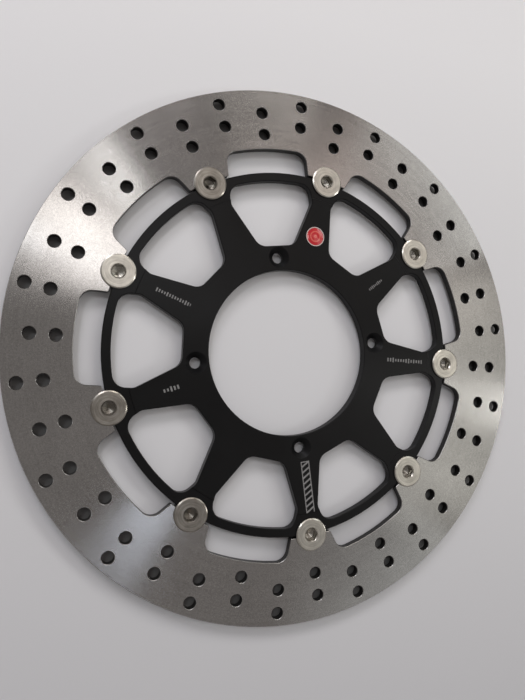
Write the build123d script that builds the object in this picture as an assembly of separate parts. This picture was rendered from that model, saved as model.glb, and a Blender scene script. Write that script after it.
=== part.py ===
from build123d import *
import os
from math import cos, hypot, pi, radians, sin, sqrt, tan

# Floating brake disc rotor for a motorcycle's front wheel, in millimetres.
# A drilled stainless blade hangs on a black aluminium carrier by a ring of sprung drive bobbins.
# The origin is the centre of the hub bore on the carrier's back face, the seat that meets the wheel.
# +Z points away from the wheel, and +X passes through one of the mounting holes.

# ---- layout -----------------------------------------------------------------
STATIONS = 9  # bobbins, spokes, windows and slots all repeat this often
PITCH = 360 / STATIONS
FIRST_STATION = 30  # direction of the first bobbin, in degrees
BOBBIN_CIRCLE_R = 109.7
CUT_MARGIN = 1.0  # how far a cutting tool reaches past the metal

# ---- blade: the friction ring -----------------------------------------------
BLADE_R = 160.0
BLADE_T = 5.0
LUG_R = 110.7  # inner end of the lugs that reach in to the bobbins
SLOT_R = 124.0  # outer end of the slots between the lugs
SLOT_MOUTH_R = 104.0  # a slot is cut from here, inside the lug ends
SLOT_HALF_WIDTH = 25.6
SLOT_CORNER_R = 7.0
LUG_TIP_R = 0.8
LUG_TIP_TOLERANCE = 0.05
BOBBIN_NOTCH_REACH = 11.0  # corners nearer to a bobbin's axis than this belong to its notch
BLADE_CHAMFER = 0.3

DRILL_R = 3.5
DRILL_PITCH = 10  # degrees between neighbouring pairs of holes
DRILL_STEP = 6.6  # radial step between the four rows of holes
DRILL_INNER_R = 132.8
DRILL_ROWS = 4

# ---- carrier: the spoked centre ---------------------------------------------
BORE_R = 50.0
HUB_T = 5.5
RIM_T = 5.0
RIM_STEP_R = 97.1  # outside this the face is turned down from HUB_T to RIM_T
RIM_R = 109.5
RIM_OVERLAP = 2.0  # how far the rim is drawn in under the spoke ends
HUB_SEAT_R = 68.0  # the back face bears on the wheel inside this
SPOKE_RELIEF = 0.3  # how far the back of the spokes lies behind the seat, up to RIM_STEP_R
CARRIER_CHAMFER = 0.4
LEVEL_TOLERANCE = 0.001

WINDOW_INNER_Y = 64.8  # distance from the axis to a window's flat inner edge
WINDOW_OUTER_R = 104.4
WINDOW_INNER_HALF_WIDTH = 11.3
WINDOW_OUTER_HALF_WIDTH = 26.0
WINDOW_FLARE = 30  # degrees between a window's long sides and its middle line
WINDOW_CORNER_R = 7.5
WINDOW_SHOULDER_R = 6.0

MOUNT_HOLES = 4
MOUNT_PCD = 115.5
MOUNT_HOLE_R = 3.25  # clearance for an M6 bolt
MOUNT_SEAT_R = 6.4  # mouth of the 90 degree countersink

# ---- bobbin and what it holds -----------------------------------------------
FIT_GAP = 0.02  # axial gap between stacked pieces
RUNNING_FIT = 0.05  # radial clearance on the bobbin's shank
SHANK_R = 6.0
SHANK_END_Z = -2.5
SHANK_CHAMFER = 0.3
FLANGE_R = 9.6
FLANGE_T = 1.1
FLANGE_BEVEL_WIDTH = 0.7
FLANGE_BEVEL_HEIGHT = 0.35
SOCKET_ACROSS_FLATS = 7.0
SOCKET_DEPTH = 3.0
SOCKET_MOUTH_R = 4.25
PILOT_R = 3.1
PILOT_DEPTH = 4.4
PILOT_POINT_HEIGHT = 1.2
PILOT_POINT_R = 0.01
SOCKET_CLOCKING = (8, 52, 33, 17, 41, 3, 26, 47, 12)  # each bobbin stops where it stops

WAVE_OUTER_R = 9.0
WAVE_INNER_R = 6.4
WAVE_T = 0.3
WAVE_HEIGHT = 0.7  # from trough to crest, thickness included
WAVES = 3
WAVE_POINTS = 24

WASHER_OUTER_R = 9.4
WASHER_T = 0.5

GROOVE_R = 5.6
CLIP_T = 0.8
CLIP_INNER_R = 5.65
CLIP_OUTER_R = 7.6
CLIP_ECCENTRICITY = 0.5
CLIP_GAP_ANGLE = 40
CLIP_GAP_REACH = 24.0  # the wedge that opens the ring is drawn out to here
CLIP_LUG_R = 1.35
CLIP_EYE_R = 0.65
CLIP_LUG_CENTRE_R = 7.0
CLIP_LUG_ANGLE = 27

# ---- badge on one spoke -----------------------------------------------------
BADGE_ANGLE = 70
BADGE_CENTRE_R = 73.6
BADGE_R = 6.0
BADGE_RECESS_DEPTH = 0.8
BADGE_RECESS_GAP = 0.03
BADGE_RIM_WIDTH = 0.55
BADGE_RIM_HEIGHT = 0.35  # how far the rim stands above the spoke
BADGE_FLOOR_T = 0.3
BADGE_DOME_HEIGHT = 0.75  # how far the enamel stands above the spoke


def station_angle(station):
    return FIRST_STATION + PITCH * station


def at_polar(radius, angle, z=0.0):
    """A place at this radius and direction, turned so that its +X points outwards."""
    place = (radius * cos(radians(angle)), radius * sin(radians(angle)), z)
    return Location(place, (0, 0, angle))


def disc_tool(radius, low_z, high_z):
    """A solid cylinder on the Z axis between two heights."""
    return Pos(0, 0, (low_z + high_z) / 2) * Cylinder(radius, high_z - low_z)


# ---- blade ------------------------------------------------------------------
def slot_outline():
    """One slot between two lugs. It points along +X and is open towards the carrier."""
    corner_x = sqrt(SLOT_R**2 - SLOT_HALF_WIDTH**2)
    with BuildSketch() as outline:
        with BuildLine():
            Polyline(
                (corner_x, SLOT_HALF_WIDTH),
                (SLOT_MOUTH_R, SLOT_HALF_WIDTH),
                (SLOT_MOUTH_R, -SLOT_HALF_WIDTH),
                (corner_x, -SLOT_HALF_WIDTH),
            )
            ThreePointArc(
                (corner_x, -SLOT_HALF_WIDTH), (SLOT_R, 0), (corner_x, SLOT_HALF_WIDTH)
            )
        make_face()
        fillet(outline.vertices().sort_by(Axis.X)[-2:], SLOT_CORNER_R)
    return outline.sketch


def drill_places():
    """Pairs of holes; neighbouring pairs are one row step apart, so all four rows are filled."""
    places = []
    for index in range(360 // DRILL_PITCH):
        first_row = index % 2
        for row in range(first_row, DRILL_ROWS, 2):
            radius = DRILL_INNER_R + DRILL_STEP * row
            places.append(at_polar(radius, 90 + DRILL_PITCH * index))
    return places


def is_lug_tip(vertex):
    """True where a slot's side meets the inner end of a lug, away from the bobbin notch."""
    off_radius = abs(hypot(vertex.X, vertex.Y) - LUG_R)
    nearest_bobbin = min(
        hypot(vertex.X - at_polar(BOBBIN_CIRCLE_R, station_angle(i)).position.X,
              vertex.Y - at_polar(BOBBIN_CIRCLE_R, station_angle(i)).position.Y)
        for i in range(STATIONS)
    )
    return off_radius < LUG_TIP_TOLERANCE and nearest_bobbin > BOBBIN_NOTCH_REACH


def make_blade():
    outline = Circle(BLADE_R) - Circle(LUG_R)
    slot = slot_outline()
    slots = [Rot(0, 0, station_angle(i) + PITCH / 2) * slot for i in range(STATIONS)]
    notch = Circle(SHANK_R + 2 * RUNNING_FIT)
    notches = [at_polar(BOBBIN_CIRCLE_R, station_angle(i)) * notch for i in range(STATIONS)]
    outline = outline - slots - notches
    outline = fillet([v for v in outline.vertices() if is_lug_tip(v)], LUG_TIP_R)
    outline = outline - [place * Circle(DRILL_R) for place in drill_places()]
    blade = extrude(outline, BLADE_T)
    faces = blade.faces().sort_by(Axis.Z)
    return chamfer(faces[0].edges() + faces[-1].edges(), BLADE_CHAMFER)


# ---- carrier ----------------------------------------------------------------
def window_outline():
    """One window between two spokes, pointing along +X."""
    flare_length = WINDOW_OUTER_HALF_WIDTH - WINDOW_INNER_HALF_WIDTH
    shoulder_x = WINDOW_INNER_Y + flare_length / tan(radians(WINDOW_FLARE))
    corner_x = sqrt(WINDOW_OUTER_R**2 - WINDOW_OUTER_HALF_WIDTH**2)
    with BuildSketch() as outline:
        with BuildLine():
            Polyline(
                (corner_x, WINDOW_OUTER_HALF_WIDTH),
                (shoulder_x, WINDOW_OUTER_HALF_WIDTH),
                (WINDOW_INNER_Y, WINDOW_INNER_HALF_WIDTH),
                (WINDOW_INNER_Y, -WINDOW_INNER_HALF_WIDTH),
                (shoulder_x, -WINDOW_OUTER_HALF_WIDTH),
                (corner_x, -WINDOW_OUTER_HALF_WIDTH),
            )
            ThreePointArc(
                (corner_x, -WINDOW_OUTER_HALF_WIDTH),
                (WINDOW_OUTER_R, 0),
                (corner_x, WINDOW_OUTER_HALF_WIDTH),
            )
        make_face()
        corners = outline.vertices().sort_by(Axis.X)
        fillet(corners[2:4], WINDOW_SHOULDER_R)
        corners = outline.vertices().sort_by(Axis.X)
        fillet(corners[:2] + corners[-2:], WINDOW_CORNER_R)
    return outline.sketch


def level_edges(solid, height):
    """The edges that lie flat at this height."""
    level = solid.edges().filter_by_position(Axis.Z, height, height)
    return [e for e in level if e.bounding_box().size.Z < LEVEL_TOLERANCE]


def without_arcs(edges, radius):
    """These edges, apart from the arcs about the bore of this radius."""
    arcs = [e for e in edges if e.geom_type == GeomType.CIRCLE]
    on_radius = [e for e in arcs if abs(e.radius - radius) < LEVEL_TOLERANCE]
    return [e for e in edges if e not in on_radius]


def make_carrier():
    window = window_outline()
    windows = [Rot(0, 0, station_angle(i) + PITCH / 2) * window for i in range(STATIONS)]
    notch = Circle(SHANK_R + RUNNING_FIT)
    notches = [at_polar(BOBBIN_CIRCLE_R, station_angle(i)) * notch for i in range(STATIONS)]
    outline = Circle(RIM_R) - Circle(BORE_R) - windows - notches

    # Hub and spokes are full height. The rim is turned down, so the flanges sit on a level face.
    spokes = extrude(outline & Circle(RIM_STEP_R), HUB_T)
    spokes = chamfer(level_edges(spokes, HUB_T), CARRIER_CHAMFER)
    rim_inner_r = RIM_STEP_R - RIM_OVERLAP
    rim = extrude(outline - Circle(rim_inner_r), RIM_T)
    rim = chamfer(without_arcs(level_edges(rim, RIM_T), rim_inner_r), CARRIER_CHAMFER)
    carrier = spokes + rim
    carrier = chamfer(without_arcs(level_edges(carrier, 0), BORE_R), CARRIER_CHAMFER)

    # The back of the spokes is milled a little lower, so the hub seat and the rim stand apart.
    relief = disc_tool(RIM_STEP_R, -CUT_MARGIN, SPOKE_RELIEF)
    carrier = carrier - (relief - disc_tool(HUB_SEAT_R, -CUT_MARGIN, SPOKE_RELIEF))

    countersink_depth = MOUNT_SEAT_R - MOUNT_HOLE_R
    countersink = Pos(0, 0, HUB_T - countersink_depth / 2)
    countersink = countersink * Cone(MOUNT_HOLE_R, MOUNT_SEAT_R, countersink_depth)
    for index in range(MOUNT_HOLES):
        place = at_polar(MOUNT_PCD / 2, 360 / MOUNT_HOLES * index)
        hole = disc_tool(MOUNT_HOLE_R, -CUT_MARGIN, HUB_T + CUT_MARGIN)
        carrier = carrier - place * hole - place * countersink
    badge_place = at_polar(BADGE_CENTRE_R, BADGE_ANGLE)
    recess_low = HUB_T - BADGE_RECESS_DEPTH
    recess = disc_tool(BADGE_R + BADGE_RECESS_GAP, recess_low, HUB_T + CUT_MARGIN)
    return carrier - badge_place * recess


# ---- bobbin and its hardware ------------------------------------------------
def make_bobbin(clocking):
    """Flanged pin with a hex socket, on the Z axis. Its shank drives carrier and blade."""
    flange_low = RIM_T + FIT_GAP
    flange_top = flange_low + FLANGE_T
    groove_top = clip_top_z() + FIT_GAP
    groove_low = clip_top_z() - CLIP_T - FIT_GAP
    bevel_low = flange_top - FLANGE_BEVEL_HEIGHT
    profile = Polyline(
        (0, SHANK_END_Z),
        (SHANK_R - SHANK_CHAMFER, SHANK_END_Z),
        (SHANK_R, SHANK_END_Z + SHANK_CHAMFER),
        (SHANK_R, groove_low),
        (GROOVE_R, groove_low),
        (GROOVE_R, groove_top),
        (SHANK_R, groove_top),
        (SHANK_R, flange_low),
        (FLANGE_R, flange_low),
        (FLANGE_R, bevel_low),
        (FLANGE_R - FLANGE_BEVEL_WIDTH, flange_top),
        (0, flange_top),
        close=True,
    )
    body = revolve(Plane.XZ * make_face(profile), Axis.Z)

    socket_low = flange_top - SOCKET_DEPTH
    hexagon = RegularPolygon(SOCKET_ACROSS_FLATS / 2, 6, major_radius=False, rotation=clocking)
    socket = Pos(0, 0, socket_low) * extrude(hexagon, SOCKET_DEPTH + CUT_MARGIN)
    mouth_height = SOCKET_MOUTH_R - SOCKET_ACROSS_FLATS / 2
    mouth = Pos(0, 0, flange_top - mouth_height / 2)
    mouth = mouth * Cone(SOCKET_ACROSS_FLATS / 2, SOCKET_MOUTH_R, mouth_height)
    pilot_low = flange_top - PILOT_DEPTH
    pilot = disc_tool(PILOT_R, pilot_low, socket_low + CUT_MARGIN)
    point = Pos(0, 0, pilot_low - PILOT_POINT_HEIGHT / 2)
    point = point * Cone(PILOT_POINT_R, PILOT_R, PILOT_POINT_HEIGHT)
    return body - socket - mouth - pilot - point


def make_wave_washer():
    """Spring ring whose surface rises and falls round the shank. It presses the blade forward."""
    middle_z = -FIT_GAP - WAVE_HEIGHT / 2
    amplitude = (WAVE_HEIGHT - WAVE_T) / 2

    def wave_edge(radius):
        points = []
        for index in range(WAVE_POINTS):
            angle = 2 * pi * index / WAVE_POINTS
            height = middle_z + amplitude * cos(WAVES * angle) - WAVE_T / 2
            points.append((radius * cos(angle), radius * sin(angle), height))
        return Edge.make_spline(points, periodic=True)

    surface = Face.make_surface_from_curves(wave_edge(WAVE_INNER_R), wave_edge(WAVE_OUTER_R))
    return Solid.extrude(surface, (0, 0, WAVE_T))


def washer_top_z():
    return -FIT_GAP - WAVE_HEIGHT - FIT_GAP


def make_flat_washer():
    top = washer_top_z()
    low = top - WASHER_T
    hole = disc_tool(SHANK_R + RUNNING_FIT, low - CUT_MARGIN, top + CUT_MARGIN)
    return disc_tool(WASHER_OUTER_R, low, top) - hole


def clip_top_z():
    return washer_top_z() - WASHER_T - FIT_GAP


def make_retaining_ring():
    """Open snap ring with two eyed lugs. Its open side faces +X."""
    low = clip_top_z() - CLIP_T
    ring = Pos(-CLIP_ECCENTRICITY, 0) * Circle(CLIP_OUTER_R)
    half_gap = CLIP_GAP_REACH * tan(radians(CLIP_GAP_ANGLE / 2))
    opening = Polyline(
        (0, 0), (CLIP_GAP_REACH, half_gap), (CLIP_GAP_REACH, -half_gap), close=True
    )
    lugs = [at_polar(CLIP_LUG_CENTRE_R, side * CLIP_LUG_ANGLE) for side in (-1, 1)]
    outline = ring - make_face(opening)
    outline = outline + [place * Circle(CLIP_LUG_R) for place in lugs]
    outline = outline - Circle(CLIP_INNER_R)
    outline = outline - [place * Circle(CLIP_EYE_R) for place in lugs]
    return Pos(0, 0, low) * extrude(outline, CLIP_T)


# ---- badge ------------------------------------------------------------------
def make_badge_rim():
    """Shallow metal cup pressed into the spoke."""
    low = HUB_T - BADGE_RECESS_DEPTH
    cup = disc_tool(BADGE_R, low, HUB_T + BADGE_RIM_HEIGHT)
    return cup - disc_tool(BADGE_R - BADGE_RIM_WIDTH, low + BADGE_FLOOR_T, HUB_T + CUT_MARGIN)


def make_badge_enamel():
    """Domed filling of the cup, a slice of a ball over a short cylinder."""
    radius = BADGE_R - BADGE_RIM_WIDTH
    low = HUB_T - BADGE_RECESS_DEPTH + BADGE_FLOOR_T
    edge = HUB_T + BADGE_RIM_HEIGHT / 2
    rise = HUB_T + BADGE_DOME_HEIGHT - edge
    profile = Line((0, low), (radius, low)) + Line((radius, low), (radius, edge))
    ball_r = (radius**2 + rise**2) / (2 * rise)
    half_x = radius / 2
    half_z = edge + rise - ball_r + sqrt(ball_r**2 - half_x**2)
    profile += ThreePointArc((radius, edge), (half_x, half_z), (0, edge + rise))
    profile += Line((0, edge + rise), (0, low))
    return revolve(Plane.XZ * make_face(profile), Axis.Z)


# ---- write every piece ------------------------------------------------------
def main():
    os.makedirs("parts", exist_ok=True)
    export_step(make_blade(), "parts/blade.step")
    export_step(make_carrier(), "parts/carrier.step")

    badge_place = at_polar(BADGE_CENTRE_R, BADGE_ANGLE)
    export_step(badge_place * make_badge_rim(), "parts/badge_rim.step")
    export_step(badge_place * make_badge_enamel(), "parts/badge_enamel.step")

    wave_washer = make_wave_washer()
    flat_washer = make_flat_washer()
    retaining_ring = make_retaining_ring()
    for station, clocking in enumerate(SOCKET_CLOCKING):
        place = at_polar(BOBBIN_CIRCLE_R, station_angle(station))
        number = station + 1
        export_step(place * make_bobbin(clocking), f"parts/drive_bobbin_{number}.step")
        export_step(place * wave_washer, f"parts/wave_washer_{number}.step")
        export_step(place * flat_washer, f"parts/flat_washer_{number}.step")
        export_step(place * retaining_ring, f"parts/retaining_ring_{number}.step")


main()
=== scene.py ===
import math

import bpy
import bmesh
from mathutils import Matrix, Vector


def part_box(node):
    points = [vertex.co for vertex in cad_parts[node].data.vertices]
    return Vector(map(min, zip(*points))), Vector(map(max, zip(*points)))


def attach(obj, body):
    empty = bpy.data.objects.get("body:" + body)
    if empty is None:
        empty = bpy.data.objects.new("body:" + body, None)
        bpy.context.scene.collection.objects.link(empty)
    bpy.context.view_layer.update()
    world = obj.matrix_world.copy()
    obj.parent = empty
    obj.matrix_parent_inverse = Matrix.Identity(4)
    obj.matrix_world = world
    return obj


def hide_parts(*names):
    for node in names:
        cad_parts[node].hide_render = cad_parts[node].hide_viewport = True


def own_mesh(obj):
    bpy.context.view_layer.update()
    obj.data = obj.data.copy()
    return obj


# Looks of a floating brake disc. Lengths are in metres, in the frame of the CAD model:
# the disc lies face up, its axis is Z and its back face is at Z = 0.

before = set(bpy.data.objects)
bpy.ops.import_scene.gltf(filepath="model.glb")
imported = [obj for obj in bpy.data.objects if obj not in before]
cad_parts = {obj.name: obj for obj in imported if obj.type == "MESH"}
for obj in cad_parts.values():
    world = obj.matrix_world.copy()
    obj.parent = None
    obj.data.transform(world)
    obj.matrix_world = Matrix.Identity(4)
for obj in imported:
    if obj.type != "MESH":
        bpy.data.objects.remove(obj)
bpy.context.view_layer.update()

MM = 0.001
STATIONS = 9
PITCH = math.radians(40)
FIRST_STATION = math.radians(30)

BLADE_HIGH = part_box("blade")[1]
HUB_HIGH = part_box("carrier")[1]
BOBBIN_LOW, BOBBIN_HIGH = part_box("drive_bobbin_1")
FLOOR_Z = BOBBIN_LOW.z  # the disc stands on its bobbins


def station_centre(node):
    low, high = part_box(node)
    return (low + high) / 2


BOBBIN_CIRCLE_R = station_centre("drive_bobbin_1").xy.length


# ---- small helpers for node trees -------------------------------------------
class Tree:
    """A material's node tree, with short calls for the nodes used here."""

    def __init__(self, name):
        self.material = bpy.data.materials.new(name)
        self.material.use_nodes = True
        self.nodes = self.material.node_tree.nodes
        self.links = self.material.node_tree.links
        self.shader = self.nodes["Principled BSDF"]

    def feed(self, socket, value):
        if isinstance(value, bpy.types.NodeSocket):
            self.links.new(value, socket)
        else:
            socket.default_value = value

    def set(self, name, value):
        self.feed(self.shader.inputs[name], value)

    def math(self, operation, *values, clamp=False):
        node = self.nodes.new("ShaderNodeMath")
        node.operation = operation
        node.use_clamp = clamp
        for socket, value in zip(node.inputs, values):
            self.feed(socket, value)
        return node.outputs[0]

    def vector_math(self, operation, *values):
        node = self.nodes.new("ShaderNodeVectorMath")
        node.operation = operation
        for socket, value in zip(node.inputs, values):
            self.feed(socket, value)
        return node.outputs["Vector"]

    def place(self):
        return self.nodes.new("ShaderNodeTexCoord").outputs["Object"]

    def normal(self):
        return self.nodes.new("ShaderNodeTexCoord").outputs["Normal"]

    def split(self, vector):
        node = self.nodes.new("ShaderNodeSeparateXYZ")
        self.feed(node.inputs[0], vector)
        return node.outputs

    def join(self, x, y, z=0.0):
        node = self.nodes.new("ShaderNodeCombineXYZ")
        for socket, value in zip(node.inputs, (x, y, z)):
            self.feed(socket, value)
        return node.outputs[0]

    def noise(self, place, scale, detail=2.0, roughness=0.5):
        node = self.nodes.new("ShaderNodeTexNoise")
        self.feed(node.inputs["Vector"], place)
        self.feed(node.inputs["Scale"], scale)
        self.feed(node.inputs["Detail"], detail)
        self.feed(node.inputs["Roughness"], roughness)
        return node.outputs["Fac"]

    def spread(self, value, low, high, to_low=0.0, to_high=1.0):
        node = self.nodes.new("ShaderNodeMapRange")
        for socket, item in zip(node.inputs, (value, low, high, to_low, to_high)):
            self.feed(socket, item)
        return node.outputs[0]

    def mix(self, share, first, second):
        node = self.nodes.new("ShaderNodeMix")
        node.data_type = "RGBA"
        self.feed(node.inputs["Factor"], share)
        self.feed(node.inputs["A"], first if hasattr(first, "links") else (*first, 1.0))
        self.feed(node.inputs["B"], second if hasattr(second, "links") else (*second, 1.0))
        return node.outputs["Result"]

    def bump(self, height, depth, strength=1.0):
        node = self.nodes.new("ShaderNodeBump")
        self.feed(node.inputs["Height"], height)
        self.feed(node.inputs["Distance"], depth)
        self.feed(node.inputs["Strength"], strength)
        return node.outputs["Normal"]


# ---- coordinates used by several materials ----------------------------------
def polar(tree, x, y):
    """Radius and direction of a point in the plane."""
    radius = tree.math("SQRT", tree.math("ADD", tree.math("MULTIPLY", x, x),
                                         tree.math("MULTIPLY", y, y)))
    return radius, tree.math("ARCTAN2", y, x)


def nearest_station(tree, x, y):
    """Offset of a point from the middle of the bobbin that is nearest to it."""
    direction = tree.math("ARCTAN2", y, x)
    turns = tree.math("DIVIDE", tree.math("SUBTRACT", direction, FIRST_STATION), PITCH)
    snapped = tree.math("MULTIPLY_ADD", tree.math("ROUND", turns), PITCH, FIRST_STATION)
    centre_x = tree.math("MULTIPLY", tree.math("COSINE", snapped), BOBBIN_CIRCLE_R)
    centre_y = tree.math("MULTIPLY", tree.math("SINE", snapped), BOBBIN_CIRCLE_R)
    return tree.math("SUBTRACT", x, centre_x), tree.math("SUBTRACT", y, centre_y)


def turned_grain(tree, radius, direction, ring_width, streak, seed):
    """Noise drawn out along circles, as a grinding wheel or a lathe leaves it.
    ring_width is the width of one groove, streak the angle over which it lasts."""
    place = tree.join(tree.math("DIVIDE", radius, ring_width),
                      tree.math("MULTIPLY", tree.math("COSINE", direction), 1 / streak),
                      tree.math("MULTIPLY_ADD", tree.math("SINE", direction), 1 / streak, seed))
    return tree.noise(place, scale=1.0, detail=3.0, roughness=0.6)


def radial_tangent(tree, x, y):
    """Direction away from a centre, x and y being the offset from it. The highlights of circular grooves
    are drawn out this way."""
    return tree.vector_math("NORMALIZE", tree.join(x, y))


# how much a face looks up or down: 0 is an upright wall, 1 is flat
EDGE_LOW = 0.25
EDGE_HIGH = 0.95
WALL_HIGH = 0.35


def edge_share(tree):
    """1 on chamfers and fillets, 0 on flat faces and upright walls."""
    upright = tree.math("ABSOLUTE", tree.split(tree.normal())[2])
    above = tree.math("GREATER_THAN", upright, EDGE_LOW)
    below = tree.math("LESS_THAN", upright, EDGE_HIGH)
    return tree.math("MULTIPLY", above, below)


def wall_share(tree):
    """1 on upright walls, 0 on the faces above and below."""
    upright = tree.math("ABSOLUTE", tree.split(tree.normal())[2])
    return tree.math("LESS_THAN", upright, WALL_HIGH)


# ---- materials --------------------------------------------------------------
# direction of the spoke, start, end, height and pitch of each row of marks, in degrees and millimetres
LASER_ROWS = (
    (190, 69, 80, 3.2, 2.0),
    (150, 66, 88, 2.7, 1.6),
    (30, 67, 79, 2.3, 1.3),
    (-10, 66, 92, 3.1, 1.9),
)
HATCH_DIRECTION = math.radians(-90)
HATCH_ALONG = (66 * MM, 98 * MM)
HATCH_ACROSS = (-1.5 * MM, 4.0 * MM)
HATCH_LINE = 0.6 * MM
HATCH_PITCH = 3.4 * MM
HATCH_SLANT = 0.6
HATCH_STROKE = 0.34
TICK_STROKE = 0.5
TICK_SHORTEST = 0.45
LASER_PALE = (0.33, 0.325, 0.32)

STEEL_DARK = (0.37, 0.359, 0.345)
STEEL_LIGHT = (0.545, 0.531, 0.513)
STEEL_ROUGH_LOW = 0.155
STEEL_ROUGH_HIGH = 0.20
# partly painted shade: near-black colours for the walls of the holes and slots, partly the dark surface left
# by cutting
CUT_DARK = (0.010, 0.010, 0.009)
CUT_LIGHT = (0.028, 0.027, 0.026)
CUT_LESS_METAL = -0.85
CUT_ROUGHER = 0.25  # walls and chamfers are this much rougher than the faces
OUTER_EDGE_BAND = 1.5 * MM

BLACK_DARK = (0.0017, 0.0017, 0.0019)
BLACK_LIGHT = (0.0026, 0.0026, 0.0029)
# painted highlight: lighter colour for the carrier's chamfers and fillets
BLACK_EDGE_SHEEN = (0.009, 0.009, 0.0095)
BLACK_ROUGH_LOW = 0.36
BLACK_ROUGH_HIGH = 0.43
MARKS_ROUGHER = 0.2
MARKS_DEPTH = 0.1 * MM  # marks lie only on faces this near the top of the carrier

BOBBIN_DARK = (0.47, 0.445, 0.395)
BOBBIN_LIGHT = (0.73, 0.695, 0.62)
# painted shade: a darker copy of the bobbin colours for three bobbins
SHADED_BOBBIN_DARK = (0.24, 0.22, 0.19)
SHADED_BOBBIN_LIGHT = (0.42, 0.39, 0.345)
WASHER_DARK = (0.45, 0.45, 0.45)
WASHER_LIGHT = (0.58, 0.58, 0.58)
SOCKET_DEPTH = 0.6 * MM  # below this, a bobbin's steel is the inside of its socket or its shank
SOCKET_SHADE = 0.8
BEVEL_SMOOTHER = -0.07

SPRING_DARK = (0.10, 0.10, 0.11)
SPRING_LIGHT = (0.17, 0.17, 0.18)
BADGE_RIM_DARK = (0.46, 0.43, 0.43)
BADGE_RIM_LIGHT = (0.62, 0.59, 0.59)
ENAMEL_RED = (0.58, 0.014, 0.022)
ENAMEL_PALE = (0.80, 0.16, 0.12)
BADGE_RING_R = 3.1 * MM
BADGE_RING_HALF_WIDTH = 0.42 * MM
BADGE_DOT_R = 1.0 * MM

# painted light: the dark and light ends of a falloff painted into the table's colour
TABLE_PAINTED_SHADED = (0.611, 0.610, 0.627)
TABLE_PAINTED_LIT = (0.890, 0.885, 0.891)
# painted shadow: colour and radii of a dark ring on the table under the blade
TABLE_PAINTED_SHADOW = (0.20, 0.195, 0.19)
TABLE_PAINTED_SHADOW_R = (127 * MM, 158 * MM)
TABLE_PAINTED_FALLOFF = (-0.27, 0.25)  # painted light: the table goes from dark to light between these places along Y, in metres, standing in for the lamps' falloff
TABLE_PAINTED_FALLOFF_SLANT = 0.19


def ground_steel():
    """Stainless blade: fine circular lay from the grinder, a few broader bands, smudges and fine speckle.
    The walls of the holes and slots are near-black, partly the dark surface left by the cutting and partly
    painted shade, and the outer edge is turned clean."""
    tree = Tree("ground_steel")
    place = tree.place()
    x, y, _ = tree.split(place)
    radius, direction = polar(tree, x, y)
    fine = turned_grain(tree, radius, direction, ring_width=0.22 * MM, streak=0.10, seed=3.1)
    broad = turned_grain(tree, radius, direction, ring_width=1.9 * MM, streak=0.35, seed=8.4)
    smudge = tree.noise(place, scale=38.0, detail=5.0, roughness=0.6)
    grain = tree.math("ADD", tree.math("MULTIPLY", fine, 0.65), tree.math("MULTIPLY", broad, 0.35))
    speckle = tree.noise(place, scale=1500.0, detail=3.0, roughness=0.7)
    shade = tree.math("ADD", tree.math("MULTIPLY", grain, 0.25), tree.math("MULTIPLY", smudge, 0.2))
    shade = tree.math("MULTIPLY_ADD", speckle, 0.55, shade)
    face = tree.mix(tree.spread(shade, 0.38, 0.62), STEEL_DARK, STEEL_LIGHT)
    wall = wall_share(tree)
    cut = tree.math("MULTIPLY", wall, tree.math("LESS_THAN", radius, BLADE_HIGH.x - OUTER_EDGE_BAND))
    # partly painted shade: the walls of the holes and slots are near-black, partly the dark surface left by
    # cutting and partly shade painted into the holes
    cut_skin_and_shade = tree.mix(tree.noise(place, scale=700.0, detail=3.0), CUT_DARK, CUT_LIGHT)
    tree.set("Base Color", tree.mix(cut, face, cut_skin_and_shade))
    tree.set("Metallic", tree.math("MULTIPLY_ADD", cut, CUT_LESS_METAL, 1.0))
    tree.set("Specular IOR Level", 0.25)
    smooth = tree.spread(grain, 0.25, 0.75, STEEL_ROUGH_LOW, STEEL_ROUGH_HIGH)
    off_face = tree.math("ADD", wall, edge_share(tree), clamp=True)
    tree.set("Roughness", tree.math("MULTIPLY_ADD", off_face, CUT_ROUGHER, smooth))
    tree.set("Anisotropic", 0.9)
    tree.set("Tangent", radial_tangent(tree, x, y))
    tree.set("Normal", tree.bump(grain, depth=0.010 * MM, strength=0.18))
    return tree.material


def mark_frame(tree, x, y, angle):
    """Distance of a point along and across a spoke."""
    along = tree.math("ADD", tree.math("MULTIPLY", x, math.cos(angle)),
                      tree.math("MULTIPLY", y, math.sin(angle)))
    across = tree.math("SUBTRACT", tree.math("MULTIPLY", y, math.cos(angle)),
                       tree.math("MULTIPLY", x, math.sin(angle)))
    return along, across


def inside(tree, value, low, high):
    return tree.math("COMPARE", value, (low + high) / 2, (high - low) / 2)


def tick_row(tree, x, y, angle, start, end, height, pitch):
    """Row of short laser ticks of uneven length along a spoke."""
    along, across = mark_frame(tree, x, y, angle)
    count = tree.math("DIVIDE", along, pitch)
    noise = tree.nodes.new("ShaderNodeTexWhiteNoise")
    noise.noise_dimensions = "1D"
    tree.feed(noise.inputs["W"], tree.math("FLOOR", count))
    reach = tree.spread(noise.outputs["Value"], 0.0, 1.0, TICK_SHORTEST * height, height)
    stroke = tree.math("LESS_THAN", tree.math("FRACT", count), TICK_STROKE)
    row = tree.math("LESS_THAN", tree.math("ABSOLUTE", across), tree.math("MULTIPLY", reach, 0.5))
    return tree.math("MULTIPLY", tree.math("MULTIPLY", stroke, row), inside(tree, along, start, end))


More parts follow.
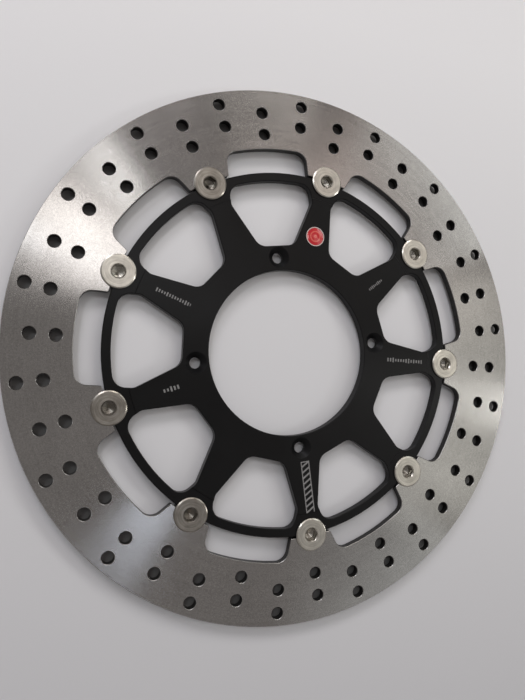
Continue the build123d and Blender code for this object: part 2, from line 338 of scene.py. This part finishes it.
def hatched_bar(tree, x, y):
    """Outlined bar with a slanting hatch inside."""
    start, end = HATCH_ALONG
    low, high = HATCH_ACROSS
    along, across = mark_frame(tree, x, y, HATCH_DIRECTION)
    outer = tree.math("MULTIPLY", inside(tree, along, start, end), inside(tree, across, low, high))
    inner = tree.math("MULTIPLY", inside(tree, along, start + HATCH_LINE, end - HATCH_LINE),
                      inside(tree, across, low + HATCH_LINE, high - HATCH_LINE))
    leaning = tree.math("ADD", along, tree.math("MULTIPLY", across, HATCH_SLANT))
    slant = tree.math("DIVIDE", leaning, HATCH_PITCH)
    hatch = tree.math("MULTIPLY", inner, tree.math("LESS_THAN", tree.math("FRACT", slant), HATCH_STROKE))
    return tree.math("ADD", tree.math("SUBTRACT", outer, inner), hatch)


def black_anodised():
    """Carrier: satin black, turned with a faint circular lay, with pale laser marks on five spokes."""
    tree = Tree("black_anodised")
    place = tree.place()
    x, y, z = tree.split(place)
    radius, direction = polar(tree, x, y)
    lay = turned_grain(tree, radius, direction, ring_width=0.3 * MM, streak=0.3, seed=2.2)
    blast = tree.noise(place, scale=5200.0, detail=2.0, roughness=0.6)
    cloud = tree.noise(place, scale=55.0, detail=4.0)
    # painted highlight: the carrier's chamfers and fillets are lighter in patches, as light catching the
    # edges
    edge_sheen = tree.math("MULTIPLY", edge_share(tree), tree.spread(cloud, 0.35, 0.7, 0.2, 1.0))
    body = tree.mix(tree.spread(cloud, 0.3, 0.7), BLACK_DARK, BLACK_LIGHT)
    body = tree.mix(edge_sheen, body, BLACK_EDGE_SHEEN)

    marks = hatched_bar(tree, x, y)
    for angle, start, end, height, pitch in LASER_ROWS:
        row = tick_row(tree, x, y, math.radians(angle), start * MM, end * MM, height * MM, pitch * MM)
        marks = tree.math("ADD", marks, row)
    on_face = tree.math("GREATER_THAN", z, HUB_HIGH.z - MARKS_DEPTH)
    marks = tree.math("MULTIPLY", marks, on_face, clamp=True)
    speckle = tree.spread(tree.noise(place, scale=3000.0), 0.3, 0.7, 0.45, 1.0)
    marks = tree.math("MULTIPLY", marks, speckle)
    tree.set("Base Color", tree.mix(marks, body, LASER_PALE))
    tree.set("Metallic", 0.0)
    rough = tree.spread(cloud, 0.3, 0.7, BLACK_ROUGH_LOW, BLACK_ROUGH_HIGH)
    tree.set("Roughness", tree.math("MULTIPLY_ADD", marks, MARKS_ROUGHER, rough))
    tree.set("Specular IOR Level", 0.24)
    tree.set("Anisotropic", 0.6)
    tree.set("Tangent", radial_tangent(tree, x, y))
    height = tree.math("ADD", tree.math("MULTIPLY", blast, 0.6), tree.math("MULTIPLY", lay, 0.4))
    tree.set("Normal", tree.bump(height, depth=0.012 * MM, strength=0.25))
    return tree.material


def turned_steel(name, dark, light, rough_low, rough_high):
    """Bobbins and washers: each is turned about its own middle and polished satin."""
    tree = Tree(name)
    place = tree.place()
    x, y, z = tree.split(place)
    near_x, near_y = nearest_station(tree, x, y)
    radius, direction = polar(tree, near_x, near_y)
    grain = turned_grain(tree, radius, direction, ring_width=0.16 * MM, streak=0.5, seed=1.7)
    bands = turned_grain(tree, radius, direction, ring_width=0.9 * MM, streak=1.2, seed=5.2)
    stain = tree.noise(place, scale=190.0, detail=4.0)
    shade = tree.math("ADD", tree.math("MULTIPLY", bands, 0.6), tree.math("MULTIPLY", stain, 0.4))
    face = tree.mix(tree.spread(shade, 0.35, 0.65), dark, light)
    # painted shade: the inside of each socket and the shank are darker
    deep = tree.math("LESS_THAN", z, BOBBIN_HIGH.z - SOCKET_DEPTH)
    tree.set("Base Color", tree.mix(deep, face, tuple(SOCKET_SHADE * part for part in dark)))
    tree.set("Metallic", 1.0)
    smooth = tree.spread(grain, 0.25, 0.75, rough_low, rough_high)
    tree.set("Roughness", tree.math("MULTIPLY_ADD", edge_share(tree), BEVEL_SMOOTHER, smooth))
    tree.set("Anisotropic", 0.3)
    tree.set("Tangent", radial_tangent(tree, near_x, near_y))
    tree.set("Normal", tree.bump(grain, depth=0.008 * MM, strength=0.3))
    return tree.material


def spring_steel():
    """Wave washers and retaining rings: dull dark spring steel."""
    tree = Tree("spring_steel")
    place = tree.place()
    cloud = tree.noise(place, scale=420.0, detail=4.0)
    tree.set("Base Color", tree.mix(tree.spread(cloud, 0.3, 0.7), SPRING_DARK, SPRING_LIGHT))
    tree.set("Metallic", 1.0)
    tree.set("Roughness", tree.spread(cloud, 0.3, 0.7, 0.34, 0.48))
    tree.set("Normal", tree.bump(tree.noise(place, scale=2600.0), depth=0.01 * MM, strength=0.3))
    return tree.material


def badge_metal():
    """Thin metal rim of the badge."""
    tree = Tree("badge_metal")
    cloud = tree.noise(tree.place(), scale=900.0, detail=3.0)
    tree.set("Base Color", tree.mix(cloud, BADGE_RIM_DARK, BADGE_RIM_LIGHT))
    tree.set("Metallic", 1.0)
    tree.set("Roughness", tree.spread(cloud, 0.3, 0.7, 0.14, 0.24))
    return tree.material


def red_enamel():
    """Clear-topped red filling with a plain lighter ring and dot."""
    tree = Tree("red_enamel")
    x, y, _ = tree.split(tree.place())
    middle = station_centre("badge_enamel")
    off_x = tree.math("SUBTRACT", x, middle.x)
    off_y = tree.math("SUBTRACT", y, middle.y)
    radius, _ = polar(tree, off_x, off_y)
    ring = tree.math("COMPARE", radius, BADGE_RING_R, BADGE_RING_HALF_WIDTH)
    dot = tree.math("LESS_THAN", radius, BADGE_DOT_R)
    mottle = tree.noise(tree.place(), scale=1400.0, detail=2.0)
    pale = tree.math("MULTIPLY", tree.math("MAXIMUM", ring, dot), tree.spread(mottle, 0.3, 0.7, 0.5, 1.0))
    tree.set("Base Color", tree.mix(pale, ENAMEL_RED, ENAMEL_PALE))
    tree.set("Roughness", tree.spread(mottle, 0.3, 0.7, 0.12, 0.2))
    tree.set("Coat Weight", 1.0)
    tree.set("Coat Roughness", 0.04)
    return tree.material


def table_top():
    """Pale table, lighter towards +Y as painted light, and darker under the blade as a painted shadow."""
    tree = Tree("table_top")
    place = tree.place()
    x, y, _ = tree.split(place)
    # painted light: the table's colour goes from dark to light along Y, standing in for the lamps' falloff
    across = tree.math("MULTIPLY_ADD", x, TABLE_PAINTED_FALLOFF_SLANT, y)
    cloud = tree.math("MULTIPLY_ADD", tree.noise(place, scale=3.0, detail=3.0), 0.05, across)
    floor_painted_falloff = tree.mix(tree.spread(cloud, *TABLE_PAINTED_FALLOFF), TABLE_PAINTED_SHADED, TABLE_PAINTED_LIT)
    # the table is darker under the blade, so the drilled holes are as dark as in the photo
    # painted shadow: a dark ring on the table under the blade
    radius, _ = polar(tree, x, y)
    under = inside(tree, radius, *TABLE_PAINTED_SHADOW_R)
    tree.set("Base Color", tree.mix(under, floor_painted_falloff, TABLE_PAINTED_SHADOW))
    tree.set("Roughness", 0.55)
    tree.set("Normal", tree.bump(tree.noise(place, scale=900.0), depth=0.05 * MM, strength=0.15))
    return tree.material


# ---- pieces made here -------------------------------------------------------
WAVES = 3
WAVE_SEGMENTS = 96
WAVE_OUTER_R = 9.0 * MM
WAVE_INNER_R = 6.4 * MM
WAVE_T = 0.3 * MM


def wave_washer(number, material):
    """Springy wave washer in the place of its CAD node."""
    node = f"wave_washer_{number}"
    low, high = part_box(node)
    centre = (low + high) / 2
    swing = (high.z - low.z - WAVE_T) / 2
    mesh = bmesh.new()
    rings = []
    for step in range(WAVE_SEGMENTS):
        angle = 2 * math.pi * step / WAVE_SEGMENTS
        wave = centre.z + swing * math.cos(WAVES * angle)
        corners = []
        for radius, side in ((WAVE_INNER_R, -1), (WAVE_OUTER_R, -1), (WAVE_OUTER_R, 1), (WAVE_INNER_R, 1)):
            corners.append(mesh.verts.new((centre.x + radius * math.cos(angle),
                                           centre.y + radius * math.sin(angle),
                                           wave + side * WAVE_T / 2)))
        rings.append(corners)
    for step in range(WAVE_SEGMENTS):
        here, there = rings[step], rings[(step + 1) % WAVE_SEGMENTS]
        for side in range(4):
            after = (side + 1) % 4
            mesh.faces.new((here[side], there[side], there[after], here[after]))
    bmesh.ops.recalc_face_normals(mesh, faces=mesh.faces)
    data = bpy.data.meshes.new(f"wave_spring_{number}")
    mesh.to_mesh(data)
    mesh.free()
    piece = bpy.data.objects.new(f"wave_spring_{number}", data)
    bpy.context.scene.collection.objects.link(piece)
    data.materials.append(material)
    bevel = piece.modifiers.new("edge_break", "BEVEL")
    bevel.width = 0.05 * MM
    bevel.segments = 2
    bevel.limit_method = "ANGLE"
    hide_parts(node)
    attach(piece, f"bobbin_{number}")
    return piece, low


# ---- dress the CAD pieces ---------------------------------------------------
# painted shade: these bobbins get a darker copy of the bobbin steel
SHADED_BOBBINS = (3, 5, 6)  # these look darker in the photo


def dress(node, material):
    """Give a CAD piece its material."""
    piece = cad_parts[node]
    piece.data.materials.clear()
    piece.data.materials.append(material)


steel = ground_steel()
black = black_anodised()
bobbin_metal = turned_steel("bobbin_steel", BOBBIN_DARK, BOBBIN_LIGHT, rough_low=0.30, rough_high=0.40)
shaded_bobbin_metal = turned_steel("bobbin_painted_shade", SHADED_BOBBIN_DARK, SHADED_BOBBIN_LIGHT, rough_low=0.32, rough_high=0.42)
washer_metal = turned_steel("washer_steel", WASHER_DARK, WASHER_LIGHT, rough_low=0.30, rough_high=0.42)
spring_metal = spring_steel()

dress("blade", steel)
dress("carrier", black)
dress("badge_rim", badge_metal())
dress("badge_enamel", red_enamel())
for number in range(1, STATIONS + 1):
    dress(f"drive_bobbin_{number}", shaded_bobbin_metal if number in SHADED_BOBBINS else bobbin_metal)
    dress(f"flat_washer_{number}", washer_metal)
    dress(f"retaining_ring_{number}", spring_metal)
    spring, spring_low = wave_washer(number, spring_metal)
    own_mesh(spring)


# ---- table, lights, camera --------------------------------------------------
TABLE_HALF = 3.0


def table():
    half = TABLE_HALF
    data = bpy.data.meshes.new("table")
    corners = [(-half, -half, FLOOR_Z), (half, -half, FLOOR_Z), (half, half, FLOOR_Z), (-half, half, FLOOR_Z)]
    data.from_pydata(corners, [], [(0, 1, 2, 3)])
    data.materials.append(table_top())
    piece = bpy.data.objects.new("table", data)
    bpy.context.scene.collection.objects.link(piece)


# Each light: direction and elevation in degrees, width and height in metres, strength at the disc, colour.
# The strengths and colours were fitted to the photo's brightness and then adjusted.
LIGHT_DISTANCE = 2.2
STUDIO_LIGHTS = {
    "window_middle": (108, 36, 0.70, 0.50, 0.565, (0.99, 0.97, 1.03)),
    "window_right": (66, 36, 0.70, 0.50, 0.420, (1.04, 1.00, 0.95)),
    "window_left": (132, 38, 0.70, 0.50, 0.065, (0.95, 1.00, 1.10)),
    "window_upper": (92, 48, 0.80, 0.40, 0.140, (1.06, 0.98, 0.99)),
    "lamp_left": (130, 58, 0.14, 0.30, 0.290, (0.96, 1.00, 1.05)),
    "lamp_right": (81, 68, 0.10, 0.20, 0.026, (1.00, 1.00, 1.00)),
    "lamp_middle": (103, 70, 0.30, 0.30, 0.019, (1.04, 0.99, 0.95)),
    "lamp_top": (85, 76, 0.35, 0.35, 0.074, (1.03, 0.99, 0.98)),
    "lamp_low": (-78, 74, 0.12, 0.20, 0.016, (0.90, 0.98, 1.15)),
    "room_right": (28, 38, 0.90, 0.60, 0.195, (0.97, 1.01, 0.99)),
    "room_far": (-10, 52, 1.00, 0.60, 0.085, (1.00, 1.01, 0.94)),
    "room_lamp": (-13, 30, 0.24, 0.40, 0.300, (1.00, 1.00, 0.98)),
    "room_low": (-50, 45, 0.90, 0.60, 0.052, (0.95, 1.01, 1.01)),
    "room_high": (20, 62, 0.80, 0.50, 0.054, (1.18, 0.96, 0.88)),
}
ROOM_COLOUR = (1.05, 0.99, 0.97)
ROOM_STRENGTH = 0.226


def soft_light(name, azimuth, elevation, width, height, strength, colour):
    """Area light that faces the disc's middle from that direction."""
    data = bpy.data.lights.new(name, "AREA")
    data.shape = "RECTANGLE"
    data.size = width
    data.size_y = height
    data.energy = strength * math.pi * LIGHT_DISTANCE ** 2
    data.color = colour
    lamp = bpy.data.objects.new(name, data)
    turn, rise = math.radians(azimuth), math.radians(elevation)
    lamp.location = (LIGHT_DISTANCE * math.cos(rise) * math.cos(turn),
                     LIGHT_DISTANCE * math.cos(rise) * math.sin(turn),
                     LIGHT_DISTANCE * math.sin(rise))
    lamp.rotation_euler = (-lamp.location).to_track_quat("-Z", "Y").to_euler()
    bpy.context.scene.collection.objects.link(lamp)


def studio():
    for name, facts in STUDIO_LIGHTS.items():
        soft_light(name, *facts)
    world = bpy.data.worlds.new("room")
    world.use_nodes = True
    background = world.node_tree.nodes["Background"]
    background.inputs["Color"].default_value = (*ROOM_COLOUR, 1.0)
    background.inputs["Strength"].default_value = ROOM_STRENGTH
    bpy.context.scene.world = world


CAMERA_PLACE = (-125.2 * MM, -2.4 * MM, 323.5 * MM)
CAMERA_TURN = (math.radians(3.158), math.radians(-18.508), math.radians(-6.920))
CAMERA_LENS = 29.21
SENSOR = 36.0


def camera():
    data = bpy.data.cameras.new("camera")
    data.lens = CAMERA_LENS
    data.sensor_width = SENSOR
    data.sensor_fit = "AUTO"
    data.clip_start = 0.01
    eye = bpy.data.objects.new("camera", data)
    eye.location = CAMERA_PLACE
    eye.rotation_euler = CAMERA_TURN
    bpy.context.scene.collection.objects.link(eye)
    bpy.context.scene.camera = eye


table()
studio()
camera()

bpy.context.scene.view_settings.view_transform = "Standard"
